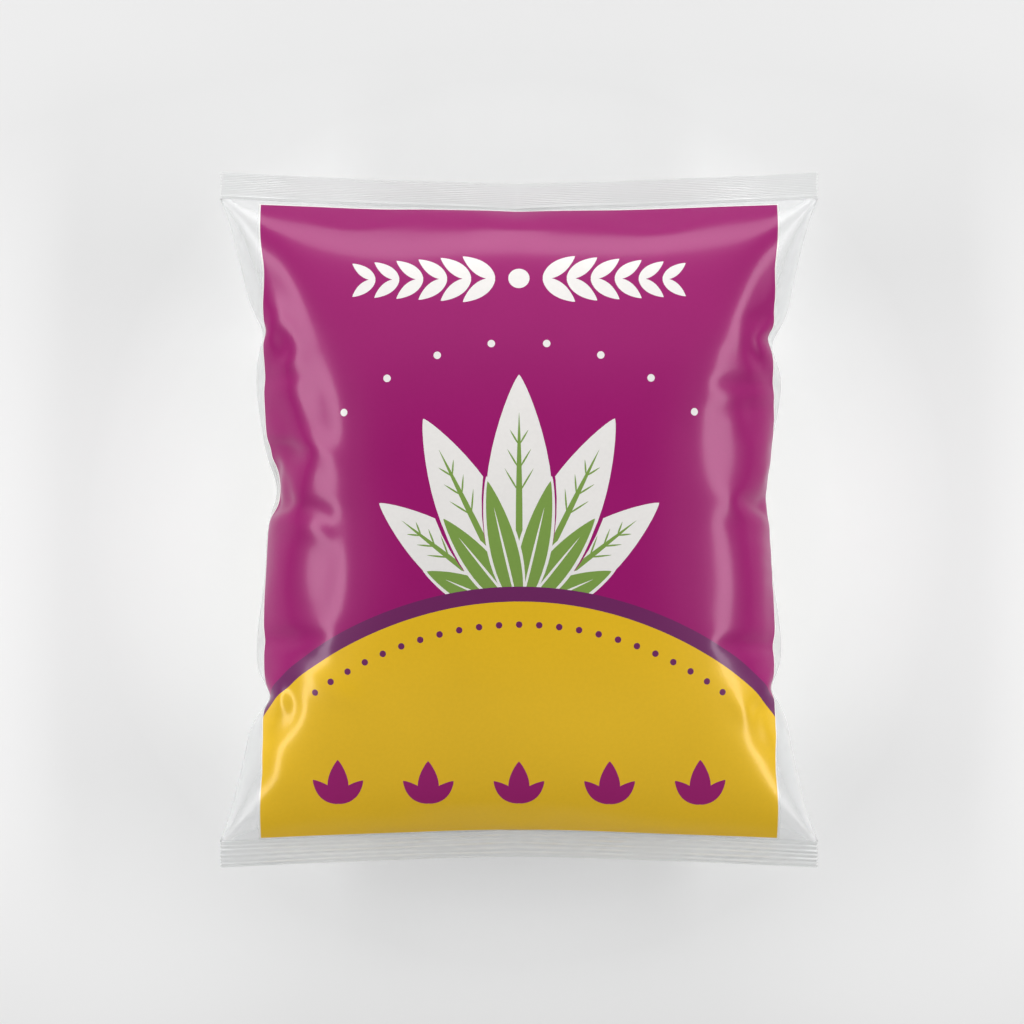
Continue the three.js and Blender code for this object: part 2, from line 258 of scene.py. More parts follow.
def blown_start(settings):
    """First guess of the blown-up film: front and back points, from the left fold to the right."""
    across, along = COARSE
    s, v = np.meshgrid(np.linspace(-1, 1, across + 1), np.linspace(-1, 1, along + 1), indexing="ij")
    y = v * (SEALED_CORNER - (SEALED_CORNER - SEALED_MIDDLE) * (1 - np.abs(s)))
    left = fold_half_width(y, LEFT_FOLD, settings.waist)
    right = fold_half_width(y, RIGHT_FOLD, settings.waist)
    x = s * np.where(s < 0, left, right)
    height = BULGE * np.maximum(1 - v * v, 0) ** 0.643 * np.sqrt(1 - np.abs(s) ** 5)
    random = np.random.default_rng(settings.seed)
    sheets = []
    for side in (1, -1):
        uneven = 0.4 * MM * random.standard_normal(height.shape) * (1 - v * v)
        sheets.append(np.stack([x, y, SEAL_PLANE + side * (height + uneven)], -1))
    points = np.stack(sheets)
    pin_to_seals(points)
    return points


def pin_to_seals(points):
    x = np.linspace(-FLAT_WIDTH / 2, FLAT_WIDTH / 2, points.shape[1])
    for row, end in ((0, -1), (-1, 1)):
        y, z = seal_line(x, end)
        points[:, :, row] = np.stack([x, y, z], -1)


def stretch_sets(shape, cell_x, cell_y):
    """Pairs of neighbouring points and their distance on the flat film, in sets that share no point."""
    every = slice(None)
    columns, rows = shape
    diagonal = math.hypot(cell_x, cell_y)
    sets = []
    for odd in (0, 1):
        right, right_next = slice(odd, columns - 1, 2), slice(odd + 1, columns, 2)
        up, up_next = slice(odd, rows - 1, 2), slice(odd + 1, rows, 2)
        sets.append(((every, right, every), (every, right_next, every), cell_x))
        sets.append(((every, every, up), (every, every, up_next), cell_y))
        lower, upper = slice(0, rows - 1), slice(1, rows)
        sets.append(((every, right, lower), (every, right_next, upper), diagonal))
        sets.append(((every, right, upper), (every, right_next, lower), diagonal))
    return sets


def sheet_normals(points):
    """Unreduced outward area vectors of the film at every point, one sheet per entry."""
    normals = []
    for sheet, side in zip(points, (1, -1)):
        across = np.gradient(sheet, axis=0)
        along = np.gradient(sheet, axis=1)
        normals.append(side * np.cross(across, along))
    return np.stack(normals)


def pull_folds(points, settings):
    """Joins the two sheets along the side folds and draws the folds to their outline."""
    for column, creases, side in ((0, LEFT_FOLD, -1), (-1, RIGHT_FOLD, 1)):
        middle = (points[0, column] + points[1, column]) / 2
        target = side * fold_half_width(middle[:, 1], creases, settings.waist)
        reach = np.clip(np.abs(middle[:, 1]) / SEALED_CORNER, 0, 1)
        middle[:, 0] += 0.3 * (1 - reach ** 6) * (target - middle[:, 0])
        middle[:, 2] += 0.02 * (SEAL_PLANE - middle[:, 2])
        points[:, column] = middle


def radish_lines():
    """Middle lines of the radishes with the radius that the film keeps clear of, in order along the bag."""
    lines = []
    for name in RADISHES:
        x, y, z, radius = root_line(name, np.linspace(0, 1, 60))
        order = np.argsort(y)
        lines.append(np.stack([y, x, z, radius + 0.5 * MM])[:, order])
    return lines


def lift_off(points, lines):
    """Moves film that cuts into a radish out to its skin."""
    for line_y, line_x, line_z, line_radius in lines:
        y = points[..., 1]
        dx = points[..., 0] - np.interp(y, line_y, line_x)
        dz = points[..., 2] - np.interp(y, line_y, line_z)
        radius = np.interp(y, line_y, line_radius, left=0, right=0)
        apart = np.sqrt(dx * dx + dz * dz) + 1e-9
        push = np.maximum(radius / apart, 1) - 1
        points[..., 0] += push * dx
        points[..., 2] += push * dz


def smooth_bends(points, amount):
    """Evens out sharp bends, as the film's own stiffness does."""
    inner = (slice(None), slice(1, -1), slice(1, -1))

    def unevenness(grid):
        out = np.zeros_like(grid)
        out[inner] = (grid[:, 2:, 1:-1] + grid[:, :-2, 1:-1] + grid[:, 1:-1, 2:] + grid[:, 1:-1, :-2]) / 4
        out[inner] -= grid[inner]
        return out

    return points - amount * unevenness(unevenness(points))


def relax(points, sweeps, settings):
    """Lets gas, film and floor come to rest: position-based steps that keep the flat film's distances."""
    step, damping = 0.01, 0.97
    columns, rows = points.shape[1:3]
    cell_x = FLAT_WIDTH / (columns - 1)
    cell_y = settings.film_length / (rows - 1)
    sets = stretch_sets((columns, rows), cell_x, cell_y)
    free = np.ones((2, columns, rows, 1))
    free[:, :, [0, -1]] = 0
    pinned = points[:, :, [0, -1]].copy()
    floor = settings.floor_gap
    radishes = radish_lines()
    points[..., 2] = np.maximum(points[..., 2], floor)
    speed = np.zeros_like(points)
    for _ in range(sweeps):
        before = points.copy()
        speed += step * settings.pressure * sheet_normals(points) / (cell_x * cell_y) * free
        points = points + step * speed
        for one, other, rest in sets:
            a, b = points[one], points[other]
            share_a, share_b = free[one], free[other]
            share = np.maximum(share_a + share_b, 1)
            apart = b - a
            now = np.linalg.norm(apart, axis=-1, keepdims=True) + 1e-12
            strain = np.where(now < rest, settings.crush * (now - rest), now - rest)
            shift = apart * strain / now / share
            points[one] = a + shift * share_a
            points[other] = b - shift * share_b
        points = points * (1 - free) + smooth_bends(points, settings.stiffness) * free
        pull_folds(points, settings)
        lift_off(points, radishes)
        overlap = np.minimum(points[0, ..., 2] - points[1, ..., 2], 0) / 2
        points[0, ..., 2] -= overlap
        points[1, ..., 2] += overlap
        points[..., 2] = np.maximum(points[..., 2], floor)
        points[:, :, [0, -1]] = pinned
        speed = (points - before) / step * damping
        speed[..., 2] = np.where((points[..., 2] <= floor) & (speed[..., 2] > 0), 0, speed[..., 2])
    return points


def refine(points):
    """The same film on a grid twice as fine, with new points on smooth curves through the old ones."""
    for axis in (1, 2):
        grid = np.moveaxis(points, axis, 0)
        before = np.concatenate([2 * grid[:1] - grid[1:2], grid[:-2]])
        after = np.concatenate([grid[2:], 2 * grid[-1:] - grid[-2:-1]])
        middle = (9 * (grid[:-1] + grid[1:]) - before - after) / 16
        fine = np.empty((2 * len(grid) - 1,) + grid.shape[1:])
        fine[::2], fine[1::2] = grid, middle
        points = np.moveaxis(fine, 0, axis)
    pin_to_seals(points)
    return points


def eased(grid, passes):
    """A grid, column by row, with its sharpest wrinkles smoothed out and its corners held."""
    grid = grid.copy()
    for _ in range(passes):
        grid[1:-1] += 0.25 * (grid[:-2] - 2 * grid[1:-1] + grid[2:])
        grid[:, 1:-1] += 0.25 * (grid[:, :-2] - 2 * grid[:, 1:-1] + grid[:, 2:])
    return grid


def crease_shift(x, y, crease):
    """How far a crease lifts the film at places (x, y): a rounded fold that fades at its ends."""
    height, left, right, line = crease
    line = np.array(line, float) * MM
    steps = np.linalg.norm(np.diff(line, axis=0), axis=1)
    at = np.concatenate([[0], np.cumsum(steps)]) / steps.sum()
    fine = np.linspace(0, 1, 60)
    path = np.stack([smooth_curve(np.stack([at, line[:, k]], -1), fine) for k in (0, 1)], -1)
    heading = np.gradient(path, axis=0)
    heading /= np.linalg.norm(heading, axis=1, keepdims=True)
    away = (x[..., None] - path[:, 0]) ** 2 + (y[..., None] - path[:, 1]) ** 2
    near = np.argmin(away, axis=-1)
    dx, dy = x - path[near, 0], y - path[near, 1]
    aside = heading[near, 0] * dy - heading[near, 1] * dx
    ahead = heading[near, 0] * dx + heading[near, 1] * dy
    share = fine[near] + ahead / steps.sum()
    past_end = np.maximum(np.maximum(-share, share - 1), 0) * steps.sum()
    reach = np.where(aside > 0, left, right) * MM
    fade = np.sin(math.pi * np.clip(share, 0.02, 0.98)) ** 0.7
    return height * MM * fade * np.exp(-(aside / reach) ** 2 - (past_end / (6 * MM)) ** 2)


@functools.lru_cache(maxsize=1)
def blown_film():
    """The film at rest: points [sheet, column, row], its front sheet first, and their unit normals."""
    settings = bpy.context.scene.bag_film
    points = blown_start(settings)
    for level, sweeps in enumerate(SWEEPS):
        if level:
            points = refine(points)
        points = relax(points, sweeps, settings)
    for _ in range(settings.refinements):
        points = refine(points)
    points = np.stack([eased(sheet, settings.softness) for sheet in points])
    x, y = points[0, ..., 0], points[0, ..., 1]
    shift = eased(sum(crease_shift(x, y, crease) for crease in CREASES), settings.softness)
    columns, rows = x.shape
    across = np.minimum(np.arange(columns), np.arange(columns)[::-1])[:, None] / (columns - 1)
    along = np.minimum(np.arange(rows), np.arange(rows)[::-1])[None, :] / (rows - 1)
    shift *= np.clip(across / 0.012, 0, 1) * np.clip(along / 0.01, 0, 1)
    outward = sheet_normals(points)[0]
    points[0] += shift[..., None] * outward / np.linalg.norm(outward, axis=-1, keepdims=True)
    normals = sheet_normals(points)
    normals[:, [0, -1]] = normals[:, [0, -1]].sum(0)  # the two sheets share their folds
    normals /= np.linalg.norm(normals, axis=-1, keepdims=True) + 1e-12
    return points, normals


def on_film(s, t, sheet):
    """Points and normals of a sheet of the film, 0 front or 1 back, at flat places (s, t)."""
    points, normals = blown_film()
    columns, rows = points.shape[1:3]
    film_length = bpy.context.scene.bag_film.film_length
    column = np.clip((np.asarray(s) / FLAT_WIDTH + 0.5) * (columns - 1), 0, columns - 1.000001)
    row = np.clip((np.asarray(t) / film_length + 0.5) * (rows - 1), 0, rows - 1.000001)
    c, r = column.astype(int), row.astype(int)
    fc, fr = (column - c)[:, None], (row - r)[:, None]
    results = []
    for grid in (points[sheet], normals[sheet]):
        lower = grid[c, r] * (1 - fc) + grid[c + 1, r] * fc
        upper = grid[c, r + 1] * (1 - fc) + grid[c + 1, r + 1] * fc
        results.append(lower * (1 - fr) + upper * fr)
    place, normal = results
    return place, normal / (np.linalg.norm(normal, axis=1, keepdims=True) + 1e-12)


# ---- Meshes ----

def make_object(name, points, faces, materials, face_materials=None, normals=None):
    mesh = bpy.data.meshes.new(name)
    mesh.from_pydata(np.asarray(points).tolist(), [], [list(map(int, face)) for face in faces])
    for material in materials:
        mesh.materials.append(material)
    if face_materials is not None:
        mesh.polygons.foreach_set("material_index", np.asarray(face_materials, np.int32))
    mesh.polygons.foreach_set("use_smooth", np.ones(len(mesh.polygons), bool))
    mesh.update()
    if normals is not None:
        mesh.normals_split_custom_set_from_vertices(np.asarray(normals).tolist())
    piece = bpy.data.objects.new(name, mesh)
    bpy.context.scene.collection.objects.link(piece)
    return piece


def grid_faces(columns, rows, ring=False, first=0):
    """Quads of a grid whose points are stored column by column."""
    index = np.arange(columns * rows).reshape(columns, rows) + first
    if ring:
        index = np.concatenate([index, index[:1]])
    corners = (index[:-1, :-1], index[1:, :-1], index[1:, 1:], index[:-1, 1:])
    return np.stack(corners, -1).reshape(-1, 4)


def thin_sheet(top, bottom):
    """Points and quads of a closed thin solid between two equal grids of points."""
    columns, rows = top.shape[:2]
    upper = grid_faces(columns, rows)
    lower = grid_faces(columns, rows, first=columns * rows)[:, ::-1]
    index = np.arange(columns * rows).reshape(columns, rows)
    border = np.concatenate([index[:, 0], index[-1, 1:], index[-2::-1, -1], index[0, -2:0:-1]])
    following = np.roll(border, -1)
    below = columns * rows
    rim = np.stack([border, border + below, following + below, following], -1)
    points = np.concatenate([top.reshape(-1, 3), bottom.reshape(-1, 3)])
    return points, np.concatenate([upper, lower, rim])


def finish_piece(piece, slot, *nodes):
    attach(piece, BODY)
    if nodes:
        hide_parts(*nodes)
    return piece


# ---- Shader nodes ----

def add(tree, kind, inputs=None, **settings):
    """A new node. Inputs are values, or sockets to link from."""
    node = tree.nodes.new(kind)
    for name, value in settings.items():
        setattr(node, name, value)
    inputs = inputs or {}
    feed(tree, [node.inputs[name] for name in inputs], inputs.values())
    return node


def feed(tree, sockets, values):
    """Gives each socket its value, or a link from a socket."""
    for socket, value in zip(sockets, values):
        if isinstance(value, bpy.types.NodeSocket):
            tree.links.new(value, socket)
        else:
            socket.default_value = value


def vector_maths(tree, operation, *values):
    node = add(tree, "ShaderNodeVectorMath", operation=operation)
    feed(tree, node.inputs, values)
    return node.outputs["Value" if operation == "LENGTH" else "Vector"]


def group(name, inputs, outputs):
    """An empty shader node group with named sockets, and its input and output nodes."""
    tree = bpy.data.node_groups.new(name, "ShaderNodeTree")
    for socket, (kind, default) in inputs.items():
        made = tree.interface.new_socket(name=socket, in_out="INPUT", socket_type=f"NodeSocket{kind}")
        made.default_value = default
    for socket, kind in outputs.items():
        tree.interface.new_socket(name=socket, in_out="OUTPUT", socket_type=f"NodeSocket{kind}")
    return tree, add(tree, "NodeGroupInput"), add(tree, "NodeGroupOutput")


def noise(tree, place, scale, detail=2.0, roughness=0.5, distortion=0.0):
    values = {"Vector": place, "Scale": scale, "Detail": detail, "Roughness": roughness,
              "Distortion": distortion}
    return add(tree, "ShaderNodeTexNoise", values).outputs["Fac"]


def maths(tree, operation, first, second=0.0, clamp=False):
    node = add(tree, "ShaderNodeMath", operation=operation, use_clamp=clamp)
    feed(tree, node.inputs, (first, second))
    return node.outputs[0]


def spread(tree, value, low, high, new_low, new_high):
    values = {"Value": value, "From Min": low, "From Max": high, "To Min": new_low, "To Max": new_high}
    return add(tree, "ShaderNodeMapRange", values).outputs["Result"]


def mix_colours(tree, share, first, second):
    node = add(tree, "ShaderNodeMix", data_type="RGBA", blend_type="MIX")
    feed(tree, (node.inputs[0], node.inputs[6], node.inputs[7]), (share, first, second))
    return node.outputs[2]


def object_place(tree):
    return add(tree, "ShaderNodeTexCoord").outputs["Object"]


@functools.lru_cache(maxsize=None)
def film_surface_group():
    """Faint fine wrinkles and cloudy gloss of thin film."""
    tree, given, result = group(
        "Film surface",
        {"Roughness": ("Float", 0.3), "Gloss Spread": ("Float", 0.05), "Wrinkle Scale": ("Float", 60.0)},
        {"Roughness": "Float", "Height": "Float"})
    place = object_place(tree)
    broad = noise(tree, place, given.outputs["Wrinkle Scale"], 3.0, 0.55, 0.6)
    fine_scale = maths(tree, "MULTIPLY", given.outputs["Wrinkle Scale"], 5.0)
    fine = noise(tree, place, fine_scale, 1.0, 0.5)
    height = maths(tree, "ADD", broad, maths(tree, "MULTIPLY", fine, 0.05))
    cloudy = spread(tree, noise(tree, place, 35.0, 2.0, 0.5), 0.2, 0.8, -1.0, 1.0)
    shift = maths(tree, "MULTIPLY", cloudy, given.outputs["Gloss Spread"])
    rough = maths(tree, "ADD", given.outputs["Roughness"], shift, clamp=True)
    tree.links.new(rough, result.inputs["Roughness"])
    tree.links.new(height, result.inputs["Height"])
    return tree


@functools.lru_cache(maxsize=None)
def ink_group():
    """Ink colour with the slow and the fine unevenness of a printing cylinder."""
    tree, given, result = group(
        "Printed ink",
        {"Color": ("Color", (1, 1, 1, 1)), "Unevenness": ("Float", 0.05)},
        {"Color": "Color"})
    place = object_place(tree)
    slow = spread(tree, noise(tree, place, 14.0, 3.0), 0.3, 0.7, -1.0, 1.0)
    fine = spread(tree, noise(tree, place, 700.0, 1.0), 0.3, 0.7, -0.35, 0.35)
    both = maths(tree, "ADD", slow, fine)
    amount = maths(tree, "MULTIPLY", both, given.outputs["Unevenness"])
    tone = add(tree, "ShaderNodeHueSaturation", {"Color": given.outputs["Color"],
                                                 "Value": maths(tree, "ADD", amount, 1.0)})
    tree.links.new(tone.outputs["Color"], result.inputs["Color"])
    return tree


def new_material(name):
    material = bpy.data.materials.new(name)
    material.use_nodes = True
    return material, material.node_tree, material.node_tree.nodes["Principled BSDF"]


def place_group(tree, made, inputs):
    node = add(tree, "ShaderNodeGroup", node_tree=made)
    for name, value in inputs.items():
        node.inputs[name].default_value = value
    return node


def bump(tree, height, strength, distance):
    values = {"Height": height, "Strength": strength, "Distance": distance}
    return add(tree, "ShaderNodeBump", values).outputs["Normal"]


def ink_material(name, ink):
    """Ink under a glossy film face."""
    material, tree, shader = new_material(name)
    surface = place_group(tree, film_surface_group(), {"Roughness": 0.30, "Gloss Spread": 0.03})
    printed = place_group(tree, ink_group(), {"Color": (*ink, 1.0), "Unevenness": 0.035})
    tree.links.new(printed.outputs["Color"], shader.inputs["Base Color"])
    tree.links.new(surface.outputs["Roughness"], shader.inputs["Roughness"])
    tree.links.new(bump(tree, surface.outputs["Height"], 0.12, 0.4 * MM), shader.inputs["Normal"])
    turned = add(tree, "ShaderNodeLayerWeight", {"Blend": 0.5}).outputs["Facing"]
    tree.links.new(spread(tree, turned, 0.12, 0.40, 0.30, 0.06), shader.inputs["Coat Weight"])
    tree.links.new(spread(tree, turned, 0.12, 0.40, 0.07, 0.0), shader.inputs["Metallic"])
    shader.inputs["Specular IOR Level"].default_value = 0.18
    shader.inputs["Coat Roughness"].default_value = 0.15
    return material


def clear_material(name, tint, facing_alpha, edge_alpha, roughness):
    """Clear film: a thin haze when seen straight on, a bright sheen where it turns away."""
    material, tree, shader = new_material(name)
    surface = place_group(tree, film_surface_group(), {"Wrinkle Scale": 50.0})
    shader.inputs["Roughness"].default_value = roughness
    tree.links.new(bump(tree, surface.outputs["Height"], 0.06, 0.4 * MM), shader.inputs["Normal"])
    facing = add(tree, "ShaderNodeLayerWeight", {"Blend": 0.35}).outputs["Facing"]
    tree.links.new(spread(tree, facing, 0.0, 1.0, facing_alpha, edge_alpha), shader.inputs["Alpha"])
    shader.inputs["Base Color"].default_value = (*tint, 1.0)
    shader.inputs["IOR"].default_value = 2.1
    return material


@functools.lru_cache(maxsize=None)
def backing_material():
    """White ink printed behind the colours, as the bag's inside shows it."""
    material, tree, shader = new_material("white ink backing")
    printed = place_group(tree, ink_group(), {"Color": (0.80, 0.80, 0.79, 1.0), "Unevenness": 0.06})
    tree.links.new(printed.outputs["Color"], shader.inputs["Base Color"])
    shader.inputs["Roughness"].default_value = 0.5
    return material


# ---- The film tube ----

SUNK_DEPTH = 0.35 * MM  # of the film under the ink
SUNK_SLOPE = 3 * MM  # width of the slope down to it


class BAG_OT_film_tube(bpy.types.Operator):
    """Blows up the clear film and closes it round the bag"""
    bl_idname = "bag.film_tube"
    bl_label = "Film tube"

    def execute(self, context):
        points, normals = blown_film()
        outer = points - self.sunk_depth(context.scene, points.shape)[..., None] * normals
        inner = outer - context.scene.bag_film.thickness * normals
        step = 2 ** context.scene.bag_film.refinements
        grids = [self.ring(grid[:, ::step, ::step]) for grid in (outer, inner, normals)]
        columns, rows = grids[0].shape[:2]
        count = columns * rows
        outside = grid_faces(columns, rows, ring=True)
        ends = np.arange(columns)[:, None] * rows + [[0, rows - 1]]
        after = np.roll(ends, -1, axis=0)
        lower = np.stack([after[:, 0], ends[:, 0], ends[:, 0] + count, after[:, 0] + count], -1)
        upper = np.stack([ends[:, 1], after[:, 1], after[:, 1] + count, ends[:, 1] + count], -1)
        faces = np.concatenate([outside, outside[:, ::-1] + count, lower, upper])
        places = np.concatenate([grids[0].reshape(-1, 3), grids[1].reshape(-1, 3)])
        facing = grids[2].reshape(-1, 3)
        clear = clear_material("clear film", context.scene.bag_film.tint, 0.17, 0.6, 0.28)
        tube = make_object("film_tube", places, faces, [clear], normals=np.concatenate([facing, -facing]))
        finish_piece(tube, "clear_film", "film_tube")
        return {"FINISHED"}

    def ring(self, grid):
        """Both sheets as one grid round the bag."""
        return np.concatenate([grid[0], grid[1, -2:0:-1]])

    def sunk_depth(self, scene, shape):
        """Under the ink the film lies a little deeper, so that it never shows through."""
        _, columns, rows = shape[:3]
        s = np.linspace(-FLAT_WIDTH / 2, FLAT_WIDTH / 2, columns)[:, None]
        t = np.linspace(-0.5, 0.5, rows)[None, :] * scene.bag_film.film_length
        low, high = print_ends(scene)
        margin = np.minimum(print_half_width(t, scene) - np.abs(s), np.minimum(t - low, high - t))
        depth = np.zeros(shape[:3])
        depth[0] = SUNK_DEPTH * np.clip(margin / SUNK_SLOPE - 0.3, 0, 1)
        return depth


# ---- The front print ----

def print_ends(scene):
    """Lower and upper end of the print along the flat film."""
    half = scene.bag_film.film_length / 2
    return scene.bag_print.bottom_margin - half, half - scene.bag_print.top_margin


def print_half_width(t, scene):
    """The flat print is wider halfway along, so that its sides look straight on the full bag."""
    reach = np.clip(np.abs(t) / (105 * MM), 0, 1)
    return scene.bag_print.half_width + scene.bag_print.side_bulge * (1 - reach ** 2) ** 1.3


def leaf(s, t, angle, size, width, points=22):
    """Outline of a leaf that starts at (s, t) and points along angle."""
    along = 0.5 - 0.5 * np.cos(np.linspace(0, math.pi, points))
    half = width / 2 * np.sin(math.pi * along ** 0.85) ** 0.8
    right = np.stack([along * size, -half], -1)
    left = np.stack([along * size, half], -1)[-2:0:-1]
    outline = np.concatenate([right, left])
    turn = np.array([[math.cos(angle), math.sin(angle)], [-math.sin(angle), math.cos(angle)]])
    return outline @ turn + (s, t)


def disc(s, t, radius, points=20):
    angle = np.linspace(0, 2 * math.pi, points, endpoint=False)
    return np.stack([s + radius * np.cos(angle), t + radius * np.sin(angle)], -1)


def hill_edge(radius, settings):
    """Part of a circle over the print's full width, as an open line from left to right."""
    centre = settings.hill_crest - settings.hill_radius
    reach = settings.half_width + settings.side_bulge
    s = np.linspace(-reach, reach, 100)
    return np.stack([s, centre + np.sqrt(radius ** 2 - s ** 2)], -1)


# leaves behind the hill, outermost first: lean in degrees, length and, for the large ones, width in mm
LARGE_LEAVES = ((-53, 70, 22), (53, 70, 22), (-27, 84, 25), (27, 84, 25), (0, 92, 27))
SMALL_LEAVES = ((-67, 40), (67, 40), (-40, 47), (40, 47), (-14, 52), (14, 52))
VEIN_SHARES = (0.50, 0.60, 0.70)
VEIN_TURN = 0.55  # radians between a leaf and its side veins
ARC_RADIUS = 105 * MM  # of the dots over the leaves
DOT_TURN = 0.061  # radians between the dots under the hill's edge
SPROUT_PITCH, SPROUT_T = 36 * MM, -116 * MM


def ornament(settings):
    """The print's own design: field, ink and outline of each shape, later ones over earlier ones."""
    return [*leaf_fan(settings), *garland(), *hill_trim(settings)]


def leaf_fan(settings):
    """Large leaves that stand behind the hill, with an arc of dots over them."""
    shapes = []
    root_t = settings.hill_crest - 4 * MM

    def add_leaf(ink, lean, size, width):
        shapes.append(("purple", ink, leaf(0, root_t, math.radians(90 + lean), size * MM, width * MM)))

    for lean, size, width in LARGE_LEAVES:
        add_leaf("purple", lean, size + 3, width + 3)
        add_leaf("white", lean, size, width)
        add_leaf("green", lean, 0.84 * size, 0.10 * width)
        angle = math.radians(90 + lean)
        for share in VEIN_SHARES:
            s = share * size * MM * math.cos(angle)
            t = root_t + share * size * MM * math.sin(angle)
            for aside in (-VEIN_TURN, VEIN_TURN):
                vein = leaf(s, t, angle + aside, (1.05 - share) * 0.75 * width * MM, 0.7 * MM, 8)
                shapes.append(("purple", "green", vein))
    for lean, size in SMALL_LEAVES:
        add_leaf("white", lean, size + 2, 13.5)
        add_leaf("green", lean, size, 11)
        add_leaf("white", lean, 0.8 * size, 1)
    for lean in range(-42, 43, 12):
        angle = math.radians(90 + lean)
        dot = disc(ARC_RADIUS * math.cos(angle), root_t + ARC_RADIUS * math.sin(angle), 1.5 * MM)
        shapes.append(("purple", "white", dot))
    return shapes


def garland():
    """Two sprigs that meet at a round berry, near the top of the print."""
    stem_t = 96 * MM
    shapes = []
    for side in (-1, 1):
        for k in range(1, 7):
            size = (17 - 0.9 * k) * MM
            for tilt in (38, -38):
                angle = math.radians(90 - side * (90 - tilt))
                blade = leaf(side * k * 9.5 * MM, stem_t, angle, size, 0.38 * size)
                shapes.append(("purple", "white", blade))
    shapes.append(("purple", "white", disc(0, stem_t, 4.2 * MM, 28)))
    return shapes


def hill_trim(settings):
    """A row of dots under the hill's edge and a row of small sprouts on the hill."""
    shapes = []
    centre_t = settings.hill_crest - settings.hill_radius
    radius = settings.hill_radius - 9 * MM
    for k in range(-11, 12):
        angle = math.pi / 2 + k * DOT_TURN
        dot = disc(radius * math.cos(angle), centre_t + radius * math.sin(angle), 1.3 * MM)
        shapes.append(("yellow", "dark", dot))
    for k in range(-2, 3):
        for lean, size in ((42, 15), (-42, 15), (0, 20)):
            angle = math.radians(90 + lean)
            sprout = leaf(SPROUT_PITCH * k, SPROUT_T, angle, size * MM, 0.42 * size * MM)
            shapes.append(("yellow", "purple", sprout))
    return shapes


def inside(outline, places):
    """Which of the places lie inside a closed outline, by counting crossings."""
    result = np.zeros(len(places), bool)
    near = np.all((places >= outline.min(0)) & (places <= outline.max(0)), axis=1)
    x, y = places[near].T
    count = np.zeros(len(x), bool)
    for (x0, y0), (x1, y1) in zip(outline, np.roll(outline, -1, axis=0)):
        if y0 != y1:
            crosses = ((y0 > y) != (y1 > y)) & (x < (x1 - x0) * (y - y0) / (y1 - y0) + x0)
            count ^= crosses
    result[near] = count
    return result


def fine_line(line, spacing, closed):
    """The same line with points no farther apart than the spacing."""
    ends = np.roll(line, -1, axis=0) if closed else line[1:]
    made = []
    for start, end in zip(line, ends):
        steps = max(1, math.ceil(np.linalg.norm(end - start) / spacing))
        made.extend(start + (end - start) * k / steps for k in range(steps))
    if not closed:
        made.append(line[-1])
    return np.array(made)


def triangulate_print(lines, spacing):
    """Triangles over the print's panel, with every line as edges and an even grid of points between."""
    places, edges = [], []
    for line, closed in lines:
        line = fine_line(line, spacing, closed)
        first = len(places)
        places.extend(line)
        edges += [(first + k, first + k + 1) for k in range(len(line) - 1)]
        if closed:
            edges.append((first + len(line) - 1, first))
    places = np.array(places)
    low, high = places.min(0), places.max(0)
    s = np.arange(low[0] + spacing / 2, high[0], spacing)
    t = np.arange(low[1] + spacing / 2, high[1], spacing)
    grid = np.stack(np.meshgrid(s, t, indexing="ij"), -1).reshape(-1, 2)
    cells = {tuple(cell) for cell in np.round(places / (0.6 * spacing)).astype(int)}
    clear = [tuple(cell) not in cells for cell in np.round(grid / (0.6 * spacing)).astype(int)]
    corners = np.concatenate([places, grid[clear]])
    made = geometry.delaunay_2d_cdt([Vector(place) for place in corners], edges, [], 0, 1e-6)
    return np.array(made[0]), np.array([face for face in made[2] if len(face) == 3])


def print_piece(name, slot, places, triangles, ink_of, inks):
    """A closed sheet of ink on the film: the given triangles of the flat print, with white ink behind."""
    used, faces = np.unique(triangles, return_inverse=True)
    faces = faces.reshape(-1, 3)
    on, normal = on_film(places[used, 0], places[used, 1], 0)
    top, bottom = on + INK_TOP * normal, on + INK_UNDERSIDE * normal
    edges = np.concatenate([faces[:, [0, 1]], faces[:, [1, 2]], faces[:, [2, 0]]])
    ordered = np.sort(edges, axis=1)
    _, first, count = np.unique(ordered, axis=0, return_index=True, return_counts=True)
    border = edges[first[count == 1]]
    below = len(used)
    upper_rim = np.stack([border[:, 1], border[:, 0], border[:, 0] + below], -1)
    lower_rim = np.stack([border[:, 1], border[:, 0] + below, border[:, 1] + below], -1)
    all_faces = np.concatenate([faces, faces[:, ::-1] + below, upper_rim, lower_rim])
    face_inks = np.concatenate([ink_of, np.full(len(all_faces) - len(faces), len(inks))])
    materials = [*inks.values(), backing_material()]
    piece = make_object(name, np.concatenate([top, bottom]), all_faces, materials, face_inks,
                        np.concatenate([normal, -normal]))
    return finish_piece(piece, slot, name)


INK_TOP, INK_UNDERSIDE = 0.09 * MM, 0.04 * MM  # heights over the film
PRINT_SPACING = 1.3 * MM  # between neighbouring points of the print's mesh
# the print's fields from the top down: number, piece and slot
PRINT_FIELDS = (
    (2, "print_purple_field", "purple_ink"),
    (1, "print_dark_band", "dark_ink"),
    (0, "print_yellow_field", "yellow_ink"),
)


